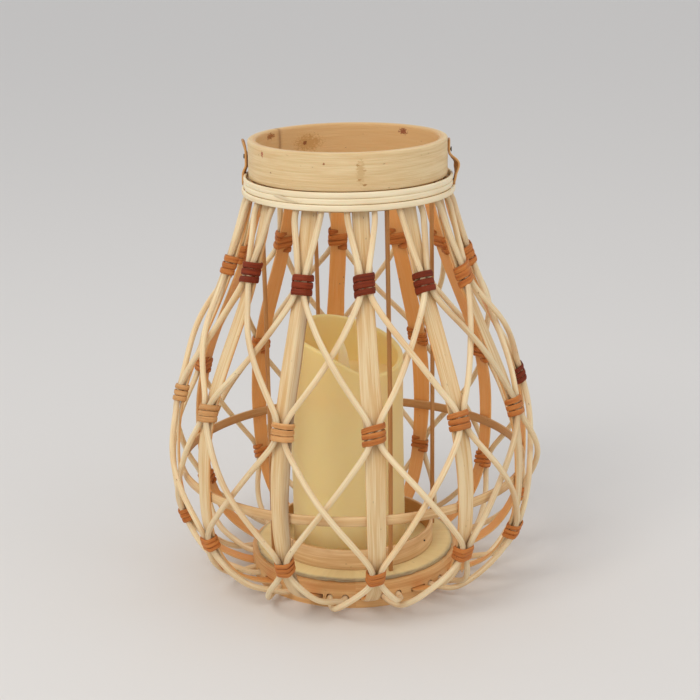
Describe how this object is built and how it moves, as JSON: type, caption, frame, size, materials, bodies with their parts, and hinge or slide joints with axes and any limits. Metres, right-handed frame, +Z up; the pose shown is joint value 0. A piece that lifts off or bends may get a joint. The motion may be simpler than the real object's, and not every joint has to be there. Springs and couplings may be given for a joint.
{
  "type": "candle lantern",
  "caption": "Pear-shaped open cage lantern of bamboo slats and tied rattan canes, with two nailed lugs for a hanging loop and a lift-out flameless pillar candle.",
  "frame": {"origin": "centre of the underside of the base ring, on the surface the lantern stands on", "axes": "+Z up along the lantern's centre line, -Y the front, +X to the right seen from the front, the two lugs stand at the right and the left"},
  "size_m": [0.2456, 0.2455, 0.29],
  "materials": {
    "collar_bamboo": "bare bent bamboo, sanded, knots and fine specks",
    "binding_rattan": "peeled split rattan core, bare",
    "slat_bamboo": "split bamboo, smooth pale skin outside and warm pith side inside",
    "cane_rattan": "peeled round rattan core, bare",
    "tie_dark": "dyed dark red-brown rattan peel",
    "tie_mid": "mid brown rattan peel",
    "tie_light": "natural orange-brown rattan peel",
    "hoop_bamboo": "bare bent bamboo strip",
    "strut_bamboo": "split bamboo rods",
    "base_bamboo": "bare bent bamboo, warm",
    "board_wood": "pale plywood, rough sawn rim",
    "lug_bamboo": "bare bamboo strip",
    "nail_steel": "dull darkened steel",
    "candle_wax": "ivory paraffin wax, smooth and slightly translucent",
    "cup_plastic": "moulded ivory plastic",
    "switch_plastic": "black moulded plastic",
    "battery_case": "printed metal sleeve, plain",
    "contact_metal": "nickel plated spring strip",
    "circuit_board": "green solder mask",
    "coil_copper": "enamelled copper wire",
    "led_lens": "clear warm lens",
    "flame_plastic": "thin cream plastic",
    "magnet_steel": "nickel plated magnet",
    "screw_steel": "zinc plated steel"
  },
  "bodies": {
    "cage": {"collar": "collar_bamboo", "neck_binding": "binding_rattan", "slat_01": "slat_bamboo", "slat_02": "slat_bamboo", "slat_03": "slat_bamboo", "slat_04": "slat_bamboo", "slat_05": "slat_bamboo", "slat_06": "slat_bamboo", "slat_07": "slat_bamboo", "slat_08": "slat_bamboo", "slat_09": "slat_bamboo", "slat_10": "slat_bamboo", "slat_11": "slat_bamboo", "slat_12": "slat_bamboo", "cane_01": "cane_rattan", "cane_02": "cane_rattan", "cane_03": "cane_rattan", "cane_04": "cane_rattan", "cane_05": "cane_rattan", "cane_06": "cane_rattan", "cane_07": "cane_rattan", "cane_08": "cane_rattan", "cane_09": "cane_rattan", "cane_10": "cane_rattan", "cane_11": "cane_rattan", "cane_12": "cane_rattan", "cane_13": "cane_rattan", "cane_14": "cane_rattan", "cane_15": "cane_rattan", "cane_16": "cane_rattan", "cane_17": "cane_rattan", "cane_18": "cane_rattan", "cane_19": "cane_rattan", "cane_20": "cane_rattan", "cane_21": "cane_rattan", "cane_22": "cane_rattan", "cane_23": "cane_rattan", "cane_24": "cane_rattan", "upper_ties": "tie_dark", "middle_ties": "tie_mid", "lower_ties": "tie_light", "belly_hoop": "hoop_bamboo", "struts": "strut_bamboo", "base_ring": "base_bamboo", "board": "board_wood", "candle_hoop": "hoop_bamboo", "lugs": "lug_bamboo", "nails": "nail_steel"},
    "candle": {"candle_wax": "candle_wax", "candle_cup": "cup_plastic", "battery_cover": "cup_plastic", "cover_screw": "screw_steel", "batteries": "battery_case", "battery_contacts": "contact_metal", "circuit_board": "circuit_board", "drive_coil": "coil_copper", "led": "led_lens"},
    "flame": {"flame": "flame_plastic", "flame_magnet": "magnet_steel"},
    "switch": {"switch_slider": "switch_plastic"}
  },
  "joints": [
    {"name": "candle_lift", "type": "slide", "parent": "cage", "child": "candle", "axis": [0, 0, 1], "range_m": [0, 0.285]},
    {"name": "flame_swing", "type": "hinge", "parent": "candle", "child": "flame", "pos_m": [-0.0035, 0, 0.1248], "axis": [0, 1, 0], "range_deg": [-3, 13]},
    {"name": "switch_slide", "type": "slide", "parent": "candle", "child": "switch", "axis": [1, 0, 0], "range_m": [0, 0.004]}
  ]
}
